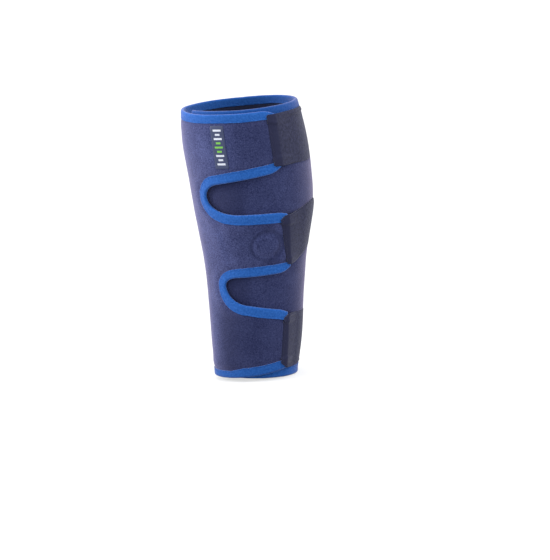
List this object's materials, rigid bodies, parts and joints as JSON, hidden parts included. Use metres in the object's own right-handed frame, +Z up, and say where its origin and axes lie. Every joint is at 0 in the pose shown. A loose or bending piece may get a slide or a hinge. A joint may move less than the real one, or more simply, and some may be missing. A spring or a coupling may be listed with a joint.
{
  "type": "calf support",
  "caption": "Neoprene wrap for the lower leg, wound over itself and closed by hook tabs split by bound cut-outs, with bright tape on its edges, shown in its worn shape.",
  "frame": {"origin": "centre of the leg's hollow at the calf's fullest girth, where the worn support grips", "axes": "+Z up the leg towards the knee, +X towards the back of the calf, -Y towards the fastening side"},
  "size_m": [0.128, 0.1219, 0.2758],
  "materials": {
    "neoprene": "matte navy loop fabric on foam rubber",
    "binding_tape": "matte bright blue knitted tape",
    "hook_tape": "matte charcoal woven tape",
    "label_film": "thin satin transfer film with a plain scale of ticks"
  },
  "bodies": {
    "root": {"neoprene_wrap": "neoprene", "upper_rim_binding": "binding_tape", "lower_rim_binding": "binding_tape", "upper_cutout_binding": "binding_tape", "lower_cutout_binding": "binding_tape", "upper_hook_tab": "hook_tape", "middle_hook_tab": "hook_tape", "lower_hook_tab": "hook_tape", "tab_label": "label_film"}
  },
  "joints": []
}
